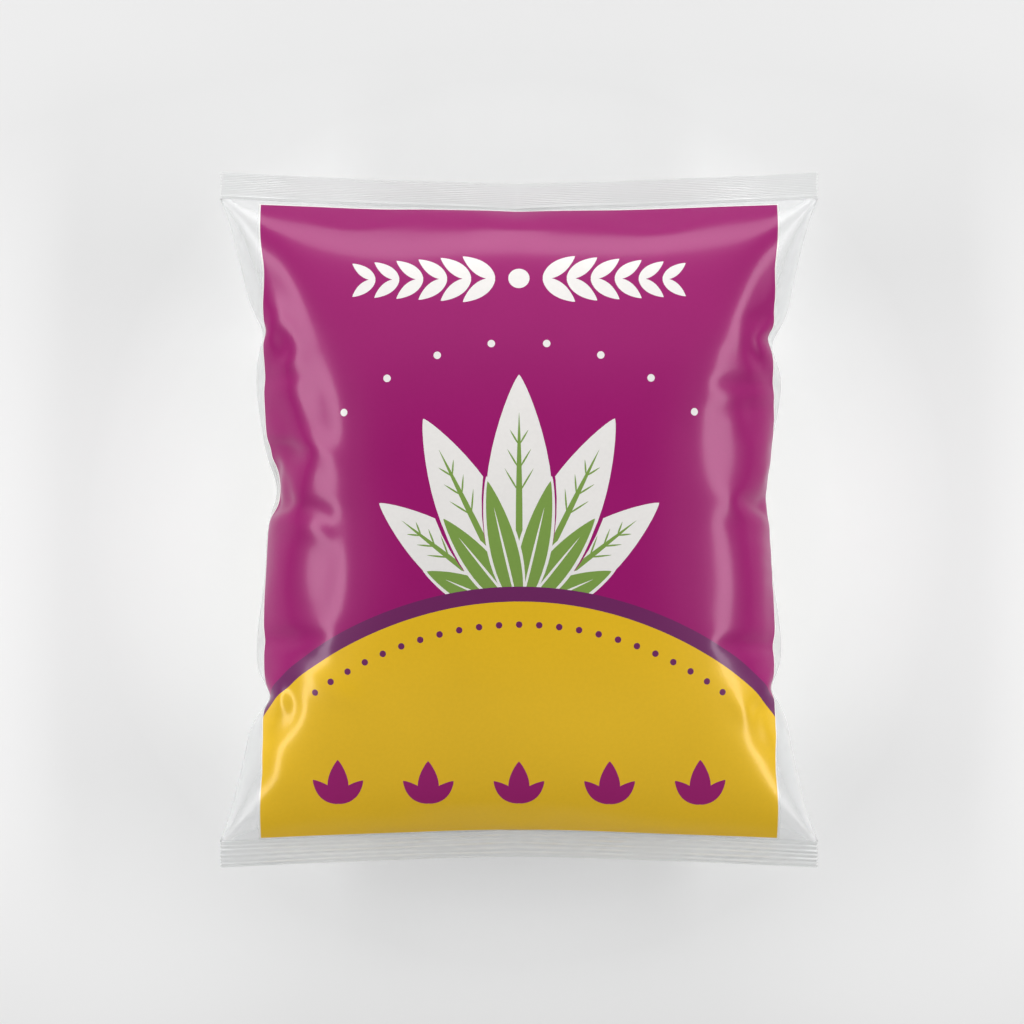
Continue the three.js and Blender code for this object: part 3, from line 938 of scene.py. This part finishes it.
class BAG_OT_front_print(bpy.types.Operator):
    """Lays the printed fields and their ornament on the front of the film"""
    bl_idname = "bag.front_print"
    bl_label = "Front print"

    def execute(self, context):
        settings = context.scene.bag_print
        bottom, top = print_ends(context.scene)
        t = np.linspace(bottom, top, 120)
        side = np.stack([print_half_width(t, context.scene), t], -1)
        panel = np.concatenate([side, (side * (-1, 1))[::-1]])
        border = settings.white_border
        end = (panel[:, 1] == top) * 1.0 - (panel[:, 1] == bottom)
        outer = panel + np.stack([np.sign(panel[:, 0]), end], -1) * border
        shapes = ornament(settings)
        centre = np.array([0, settings.hill_crest - settings.hill_radius])
        lower_edge = hill_edge(settings.hill_radius, settings)
        upper_edge = hill_edge(settings.hill_radius + settings.band_width, settings)
        lines = [(outer, True), (panel, True), (lower_edge, False), (upper_edge, False)]
        lines += [(outline, True) for _, _, outline in shapes]
        places, triangles = triangulate_print(lines, PRINT_SPACING)
        middle = places[triangles].mean(1)
        kept = np.abs(middle[:, 0]) < print_half_width(middle[:, 1], context.scene) + border
        triangles, middle = triangles[kept], middle[kept]
        out = np.linalg.norm(middle - centre, axis=1)
        field = np.digitize(out, [settings.hill_radius, settings.hill_radius + settings.band_width])
        inks = {name: ink_material(f"{name} ink", getattr(settings, name))
                for name in ("yellow", "dark", "purple", "white", "green")}
        names = list(inks)
        ink = field.copy()
        for field_name, ink_name, outline in shapes:
            within = inside(outline, middle) & (field == names.index(field_name))
            ink[within] = names.index(ink_name)
        ink[~inside(panel, middle)] = names.index("white")
        for value, name, slot in PRINT_FIELDS:
            mine = field == value
            print_piece(name, slot, places, triangles[mine], ink[mine], inks)
        return {"FINISHED"}


# ---- The end seals ----

SEAM_FOLD, SEAM_EDGE = -1.5 * MM, 12 * MM  # the back fin's fold and its free edge, across the bag
SEAM_MIDDLE = 5 * MM


class BAG_OT_end_seals(bpy.types.Operator):
    """Crimps the two ends of the bag"""
    bl_idname = "bag.end_seals"
    bl_label = "End seals"

    def execute(self, context):
        settings = context.scene.bag_seals
        finely = clear_material("finely crimped film", (0.85, 0.86, 0.86), 0.55, 0.9, 0.3)
        # Painted shade: the broadly crimped film of the bottom seal has a darker tint than the top seal's
        # film, which paints shade on the bottom seal.
        broadly = clear_material("broadly crimped film", (0.75, 0.76, 0.76), 0.55, 0.9, 0.3)
        self.crimp("top_seal", 1, settings.top_ribs, settings.top_rib_depth, settings, finely)
        self.crimp("bottom_seal", -1, settings.bottom_ribs, settings.bottom_rib_depth, settings, broadly)
        return {"FINISHED"}

    def crimp(self, name, end, ribs, rib_depth, settings, material):
        across, along = 320, 96
        share, out = np.meshgrid(np.linspace(-1, 1, across + 1), np.linspace(0, 1, along + 1),
                                 indexing="ij")
        tooth = 0.5 + 0.5 * np.cos(2 * math.pi * settings.teeth * out)
        saw = settings.saw_depth * tooth * np.abs(share) ** 400
        x = share * (FLAT_WIDTH / 2) - np.sign(share) * saw
        y, z = seal_line(x, end)
        near_seam = np.exp(-((x - SEAM_MIDDLE) / (7 * MM)) ** 2)
        pinch = np.exp(-np.abs(x - SEAM_FOLD) / (9 * MM))
        random = np.random.default_rng(5 + end)
        rates, phases = random.uniform(20, 240, 8), random.uniform(0, 6, 8)
        pressed = sum(0.5 * np.sin(rate * x + start) for rate, start in zip(rates, phases))
        phase = 2 * math.pi * ribs * out
        phase = phase + 0.5 * np.sin(31 * x + 4 * out + end) + 0.4 * np.sin(67 * x - 9 * out)
        streaks = 1 + 0.7 * np.sin(45 * x + 14 * out) * np.sin(29 * x - 9 * out + end)
        depth = rib_depth * np.clip(0.85 + 0.3 * pressed, 0.4, 1.4) * streaks * np.sin(math.pi * out) ** 0.3
        bead = settings.bead * np.exp(-((out - 0.1) / 0.035) ** 2) * np.clip(0.75 + 0.2 * pressed, 0, 1)
        flutter = 0.5 * MM * out * np.sin(95 * x + 2 * end) * np.sin(23 * x)
        tucked = pinch * (1 - out)
        height = z + depth * np.sin(phase) + bead + flutter + 0.25 * MM * near_seam + 1.1 * MM * tucked
        place = y + end * (out * SEAL_HEIGHT - 0.9 * MM * tucked)
        middle = np.stack([x, place, height], -1)
        up = np.array([0, 0, settings.thickness / 2])
        top, bottom = middle + up, middle - up - np.array([0, 0, 0.3 * MM]) * near_seam[..., None]
        points, faces = thin_sheet(top, bottom)
        if end < 0:
            faces = faces[:, ::-1]
        piece = make_object(name, points, faces, [material])
        finish_piece(piece, "seal_film", name)


# ---- The back seam ----

SEAM_RIB_PITCH = 1.3 * MM


class BAG_OT_back_seam(bpy.types.Operator):
    """Folds the fin seam flat along the back"""
    bl_idname = "bag.back_seam"
    bl_label = "Back seam"

    def execute(self, context):
        film_length = context.scene.bag_film.film_length
        across, along = 26, 360
        s, t = np.meshgrid(np.linspace(SEAM_FOLD, SEAM_EDGE, across + 1),
                           np.linspace(-0.4999, 0.4999, along + 1) * film_length, indexing="ij")
        on, normal = on_film(s.ravel(), t.ravel(), 1)
        share = np.linspace(0, 1, across + 1)[:, None] * np.ones(along + 1)
        ribs = 0.035 * MM * np.sin(2 * math.pi * t / SEAM_RIB_PITCH)
        lift = 0.09 * MM + ribs + share ** 2 * (0.25 + 0.2 * np.sin(60 * t + 1)) * MM
        grid = on.reshape(across + 1, along + 1, 3)
        out = normal.reshape(across + 1, along + 1, 3)
        outer = grid + (lift + 0.06 * MM)[..., None] * out
        inner = grid + (lift - 0.03 * MM)[..., None] * out
        for sheet, lowest in ((outer, 0.02 * MM), (inner, 0.10 * MM)):
            sheet[..., 2] = np.maximum(sheet[..., 2], lowest)
        points, faces = thin_sheet(outer, inner)
        seam = make_object("back_seam", points, faces[:, ::-1],
                           [clear_material("seam film", (0.86, 0.87, 0.88), 0.4, 0.85, 0.25)])
        finish_piece(seam, "seal_film", "back_seam")
        return {"FINISHED"}


# ---- The radishes ----

def waves(random, places, count, low, high):
    """A smooth random curve over the places, about 1 high."""
    rates = random.uniform(low, high, count)
    phases = random.uniform(0, 2 * math.pi, count)
    return sum(np.sin(rate * places + phase) for rate, phase in zip(rates, phases)) / math.sqrt(count)


def stretched_place(tree, along):
    """Places whose pattern is stretched or squeezed along the bag."""
    values = {"Vector": object_place(tree), "Scale": (1.0, along, 1.0)}
    return add(tree, "ShaderNodeMapping", values).outputs["Vector"]


def root_material(settings):
    material, tree, shader = new_material("radish skin")
    place = object_place(tree)
    stretched = stretched_place(tree, 7.0)
    rings = noise(tree, stretched, 60.0, 5.0, 0.65, 0.4)
    marks = spread(tree, noise(tree, stretched, 38.0, 2.0, 0.5, 1.2), 0.67, 0.74, 0.0, 1.0)
    specks = spread(tree, noise(tree, place, 420.0, 1.0), 0.70, 0.76, 0.0, 0.6)
    crown = add(tree, "ShaderNodeAttribute", attribute_name="crown").outputs["Fac"]
    tail = add(tree, "ShaderNodeAttribute", attribute_name="tail").outputs["Fac"]
    ringed = spread(tree, rings, 0.3, 0.7, 0.0, 0.35)
    base = mix_colours(tree, ringed, (*settings.skin, 1), (0.66, 0.60, 0.46, 1))
    base = mix_colours(tree, crown, base, (*settings.crown_tint, 1))
    base = mix_colours(tree, tail, base, (0.52, 0.42, 0.27, 1))
    base = mix_colours(tree, maths(tree, "MULTIPLY", marks, 0.45), base, (0.40, 0.30, 0.16, 1))
    base = mix_colours(tree, specks, base, (0.30, 0.22, 0.12, 1))
    tree.links.new(base, shader.inputs["Base Color"])
    tree.links.new(spread(tree, rings, 0.3, 0.7, 0.36, 0.52), shader.inputs["Roughness"])
    tree.links.new(bump(tree, rings, 0.5, 0.5 * MM), shader.inputs["Normal"])
    shader.inputs["Subsurface Weight"].default_value = 0.25
    shader.inputs["Subsurface Radius"].default_value = (0.006, 0.005, 0.003)
    return material


def stalk_material(settings):
    material, tree, shader = new_material("leaf stalk")
    stretched = stretched_place(tree, 0.15)
    ribs = noise(tree, stretched, 900.0, 3.0, 0.6)
    out = add(tree, "ShaderNodeAttribute", attribute_name="along_stalk").outputs["Fac"]
    tone = spread(tree, ribs, 0.3, 0.7, 0.0, 0.5)
    base = mix_colours(tree, tone, (*settings.stalk, 1), (0.45, 0.58, 0.22, 1))
    base = mix_colours(tree, spread(tree, out, 0.0, 0.45, 0.75, 0.0), base, (0.70, 0.72, 0.48, 1))
    base = mix_colours(tree, spread(tree, out, 0.97, 1.0, 0.0, 0.8), base, (0.66, 0.72, 0.42, 1))
    tree.links.new(base, shader.inputs["Base Color"])
    tree.links.new(spread(tree, ribs, 0.3, 0.7, 0.38, 0.6), shader.inputs["Roughness"])
    tree.links.new(bump(tree, ribs, 0.5, 0.4 * MM), shader.inputs["Normal"])
    shader.inputs["Subsurface Weight"].default_value = 0.15
    shader.inputs["Subsurface Radius"].default_value = (0.002, 0.003, 0.001)
    return material


def point_values(piece, name, values):
    layer = piece.data.attributes.new(name, "FLOAT", "POINT")
    layer.data.foreach_set("value", np.asarray(values, np.float32))


ROOT_CREASES = 46
STALKS = 13  # on each crown


def make_root(name, material, random):
    sides, steps = 96, 220
    share = 1 - np.cos(np.linspace(0, math.pi / 2, steps + 1))
    share = 0.5 * share + 0.5 * np.linspace(0, 1, steps + 1)
    angle = np.linspace(0, 2 * math.pi, sides, endpoint=False)
    a, u = np.meshgrid(angle, share, indexing="ij")
    line_x, line_y, line_z, profile = root_line(name, share)
    creases = np.zeros_like(u)
    for _ in range(ROOT_CREASES):
        place, turn = random.uniform(0.06, 0.97), random.uniform(0, 2 * math.pi)
        reach, depth = random.uniform(0.25, 1.3), random.uniform(0.05, 0.22) * MM
        facing = np.exp(-((np.angle(np.exp(1j * (a - turn))) / reach) ** 2))
        drift = 0.004 * np.sin(2 * a + turn)
        creases += depth * facing * np.exp(-(((u - place - drift) / 0.0032) ** 2))
    lumps = 0.35 * MM * waves(random, 3 * a + 9 * u, 3, 0.8, 1.2) * np.sin(math.pi * u)
    r = profile - creases * np.minimum(1, profile / (4 * MM)) + lumps * np.minimum(1, profile / (12 * MM))
    head = heads_up(name)
    x = line_x + head * (r * np.cos(a) + 1.2 * MM * np.exp(-u * 14) * np.sin(40 * u))
    z = line_z + r * np.sin(a) + 2.5 * MM * np.exp(-u * 16)
    points = np.stack([x, line_y + 0 * a, z], -1).reshape(-1, 3)
    faces = [list(face) for face in grid_faces(sides, steps + 1, ring=True)]
    tip, crown = np.arange(sides) * (steps + 1), np.arange(sides) * (steps + 1) + steps
    faces += [list(tip[::-1]), list(crown)]
    faces = [face[::-1] for face in faces] if head < 0 else faces
    piece = make_object(f"{name}_root", points, [face[::-1] for face in faces], [material])
    shoulder = np.clip((u - 0.86) / 0.14, 0, 1) ** 1.6 * (0.75 + 0.25 * np.sin(5 * a))
    point_values(piece, "crown", shoulder.ravel())
    point_values(piece, "tail", (np.clip((0.16 - u) / 0.16, 0, 1) * 0.7).ravel())
    return finish_piece(piece, "daikon_skin", f"{name}_root")


def stalk_mesh(base, direction, outwards, size, thickness, random):
    """One cut leaf stalk: a curved tapering tube, hollowed a little on its inner side."""
    sides, steps = 12, 9
    u = np.linspace(0, 1, steps + 1)
    angle = np.linspace(0, 2 * math.pi, sides, endpoint=False)
    side = np.cross(direction, outwards)
    side /= np.linalg.norm(side) + 1e-12
    face = np.cross(side, direction)
    bow = random.uniform(0.05, 0.16) * size
    spine = base + np.outer(u, direction) * size + np.outer(u ** 2, outwards) * bow
    flare = 1.25 - 0.45 * u + 0.08 * np.sin(6 * u + random.uniform(0, 6))
    groove = 1 - 0.38 * np.exp(-((np.angle(np.exp(1j * (angle - math.pi))) / 0.6) ** 2))
    ribbed = 1 + 0.05 * np.cos(5 * angle)
    shape = thickness * groove * ribbed
    slant = random.uniform(-0.25, 0.25)
    points = (spine[None] + (flare[None, :] * (shape * np.cos(angle))[:, None])[..., None] * face
              + (flare[None, :] * (1.25 * shape * np.sin(angle))[:, None])[..., None] * side)
    cut = (u ** 6)[None, :] * (slant * thickness * np.cos(angle))[:, None]
    points = points + cut[..., None] * direction
    faces = [list(quad) for quad in grid_faces(sides, steps + 1, ring=True)]
    row = np.arange(sides) * (steps + 1)
    faces += [list(row[::-1]), list(row + steps)]
    return points.reshape(-1, 3), faces, np.tile(u, sides)


def make_stalks(name, material, random):
    low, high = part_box(f"{name}_stalks")
    root_low, root_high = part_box(f"{name}_root")
    head = heads_up(name)
    base_y = root_high.y if head > 0 else root_low.y
    centre = np.array([(low.x + high.x) / 2, base_y, (root_low.z + root_high.z) / 2])
    crown_radius = ROOT_SHAPE[-1][1] * (root_high.z - root_low.z) / 2
    reach = (high.y - low.y) * 0.86
    forward = np.array([0.0, head, 0.0])
    points, faces, along = [], [], []
    turns = math.pi * (3 - math.sqrt(5))
    for k in range(STALKS):
        out = math.sqrt((k + 0.4) / STALKS)
        angle = turns * k + random.uniform(-0.2, 0.2)
        radial = np.array([math.cos(angle), 0, math.sin(angle)])
        direction = forward + radial * 0.42 * out
        direction /= np.linalg.norm(direction)
        start = centre + radial * 0.62 * crown_radius * out - forward * 1.5 * MM
        size = reach * random.uniform(0.62, 1.0) * (1 - 0.12 * out)
        made, quads, u = stalk_mesh(start, direction, radial, size, (1.5 + 0.9 * out) * MM, random)
        shift = sum(len(block) for block in points)
        faces += [[index + shift for index in quad] for quad in quads]
        points.append(made)
        along.append(u)
    sides, rings = 36, 7
    angle = np.linspace(0, 2 * math.pi, sides, endpoint=False)
    u = np.linspace(0, 1, rings)
    a, v = np.meshgrid(angle, u, indexing="ij")
    r = crown_radius * np.cos(v * 1.2) * (1 + 0.05 * np.sin(9 * a + 4 * v) + 0.05 * np.sin(17 * v))
    y = base_y + head * (4.0 * MM * np.sin(v * 1.45) - 0.6 * MM)
    button = np.stack([centre[0] + r * np.cos(a), y + 0 * a, centre[2] + r * np.sin(a)], -1)
    shift = sum(len(block) for block in points)
    quads = [[int(index) for index in quad] for quad in grid_faces(sides, rings, ring=True, first=shift)]
    row = np.arange(sides) * rings + shift
    faces += quads + [list(row[::-1]), list(row + rings - 1)]
    points.append(button.reshape(-1, 3))
    along.append(np.zeros(sides * rings) + 0.1)
    piece = make_object(f"{name}_stalks", np.concatenate(points), faces, [material])
    point_values(piece, "along_stalk", np.concatenate(along))
    return finish_piece(piece, "daikon_stalk", f"{name}_stalks")


class BAG_OT_radishes(bpy.types.Operator):
    """Lays the three radishes in the bag"""
    bl_idname = "bag.radishes"
    bl_label = "Radishes"

    def execute(self, context):
        settings = context.scene.bag_radishes
        skin, stalk = root_material(settings), stalk_material(settings)
        random = np.random.default_rng(settings.seed)
        for name in RADISHES:
            make_root(name, skin, random)
            make_stalks(name, stalk, random)
        return {"FINISHED"}


# ---- The stage ----

FLOOR_HALF = 3.0
GLOW_ACROSS, GLOW_ALONG = 0.176, 0.18  # half axes of the painted glow round the bag: the floor emits light there to lift the bag's shadow
LIT_MIDDLE = (0, 0, 0.04)  # the lights point at the middle of the bag
SOFTBOXES = (  # name, place, size and power
    ("left softbox", (-0.9, 0.0, 0.57), (1.3, 0.22), 6.2),
    ("right softbox", (0.9, 0.0, 0.57), (1.3, 0.22), 6.2),
    ("far softbox", (0.0, 1.1, 0.38), (0.9, 0.35), 5.0),
)


def place_softbox(name, place, size, power):
    light = bpy.data.lights.new(name, "AREA")
    light.shape = "RECTANGLE"
    light.size, light.size_y = size
    light.energy = power
    lamp = bpy.data.objects.new(name, light)
    bpy.context.scene.collection.objects.link(lamp)
    lamp.location = place
    lamp.rotation_mode = "QUATERNION"
    lamp.rotation_quaternion = (Vector(LIT_MIDDLE) - Vector(place)).to_track_quat("-Z", "Y")


class BAG_OT_stage(bpy.types.Operator):
    """Sets the pale floor with its painted glow and painted falloff shade, the soft lights and the camera
    """
    bl_idname = "bag.stage"
    bl_label = "Stage"

    def execute(self, context):
        settings = context.scene.bag_stage
        half = FLOOR_HALF
        corners = [(-half, -half, 0), (half, -half, 0), (half, half, 0), (-half, half, 0)]
        material, tree, shader = new_material("pale floor")
        # Painted shade: the floor's colour darkens away from the bag, standing in for light that falls off
        # towards the edges. It stays palest right round the bag, where the bag's own shadow falls.
        place = vector_maths(tree, "MULTIPLY", object_place(tree), (0.55, 1.0, 0.0))
        moved = vector_maths(tree, "ADD", place, (0.0, 0.03, 0.0))
        away = vector_maths(tree, "LENGTH", moved)
        pale = mix_colours(tree, spread(tree, away, 0.08, 0.22, 0.0, 1.0), (*settings.floor_tone, 1),
                           (0.76, 0.76, 0.76, 1))
        pale = mix_colours(tree, spread(tree, away, 0.25, 0.9, 0.0, 0.35), pale, (0.5, 0.5, 0.5, 1))
        tree.links.new(pale, shader.inputs["Base Color"])
        # Painted light: the floor glows in an ellipse round the bag, so that the shadow the bag casts round
        # itself is lifted.
        ring = vector_maths(tree, "MULTIPLY", object_place(tree), (1 / GLOW_ACROSS, 1 / GLOW_ALONG, 0.0))
        ring = vector_maths(tree, "LENGTH", ring)
        painted_glow = mix_colours(tree, spread(tree, ring, 0.72, 1.0, 1.0, 0.0), (0, 0, 0, 1),
                           (0.12, 0.12, 0.12, 1))
        tree.links.new(painted_glow, shader.inputs["Emission Color"])
        shader.inputs["Emission Strength"].default_value = 1.0
        shader.inputs["Roughness"].default_value = 0.6
        make_object("floor", corners, [(0, 1, 2, 3)], [material])
        for softbox in SOFTBOXES:
            place_softbox(*softbox)
        world = bpy.data.worlds.new("studio")
        world.use_nodes = True
        tree = world.node_tree
        background = tree.nodes["Background"]
        background.inputs["Color"].default_value = (1, 1, 1, 1)
        toward = add(tree, "ShaderNodeSeparateXYZ",
                     {"Vector": add(tree, "ShaderNodeTexCoord").outputs["Generated"]}).outputs
        near = spread(tree, toward["Y"], -0.9, 0.3, 0.5, 1.0)
        above = spread(tree, toward["Z"], 0.86, 0.97, 0.66, 0.02)
        level = spread(tree, toward["Z"], 0.0, 0.4, 0.45, 1.0)
        sky = maths(tree, "MULTIPLY", maths(tree, "MULTIPLY", near, above), level)
        tree.links.new(sky, background.inputs["Strength"])
        context.scene.world = world
        context.scene.view_settings.view_transform = "Standard"
        self.place_camera(context.scene, settings)
        return {"FINISHED"}

    def place_camera(self, scene, settings):
        lens = bpy.data.cameras.new("camera")
        lens.lens = lens.sensor_width * settings.camera_height / settings.view_width
        camera = bpy.data.objects.new("camera", lens)
        scene.collection.objects.link(camera)
        camera.location = (settings.offset_x, settings.offset_y, SEAL_PLANE + settings.camera_height)
        camera.rotation_mode = "QUATERNION"
        camera.rotation_quaternion = Quaternion()
        scene.camera = camera


# ---- The add-on ----

class BAG_PT_panel(bpy.types.Panel):
    bl_label = "Pillow bag"
    bl_idname = "BAG_PT_panel"
    bl_space_type = "VIEW_3D"
    bl_region_type = "UI"
    bl_category = "Pillow bag"

    def draw(self, context):
        for group_name in SETTINGS:
            box = self.layout.box()
            owner = getattr(context.scene, group_name)
            for name in owner.__annotations__:
                box.prop(owner, name)
        for operator in OPERATORS:
            self.layout.operator(operator.bl_idname)


SETTINGS = {"bag_film": FilmSettings, "bag_print": PrintSettings, "bag_seals": SealSettings,
            "bag_radishes": RadishSettings, "bag_stage": StageSettings}
OPERATORS = (BAG_OT_film_tube, BAG_OT_front_print, BAG_OT_end_seals, BAG_OT_back_seam, BAG_OT_radishes,
             BAG_OT_stage)


def register():
    for made in (*SETTINGS.values(), *OPERATORS, BAG_PT_panel):
        bpy.utils.register_class(made)
    for name, kind in SETTINGS.items():
        setattr(bpy.types.Scene, name, bpy.props.PointerProperty(type=kind))


def unregister():
    for name in SETTINGS:
        delattr(bpy.types.Scene, name)
    for made in (BAG_PT_panel, *reversed(OPERATORS), *reversed(SETTINGS.values())):
        bpy.utils.unregister_class(made)


def main():
    register()
    bpy.ops.bag.film_tube()
    bpy.ops.bag.front_print()
    bpy.ops.bag.end_seals()
    bpy.ops.bag.back_seam()
    bpy.ops.bag.radishes()
    bpy.ops.bag.stage()


if __name__ == "__main__":
    main()
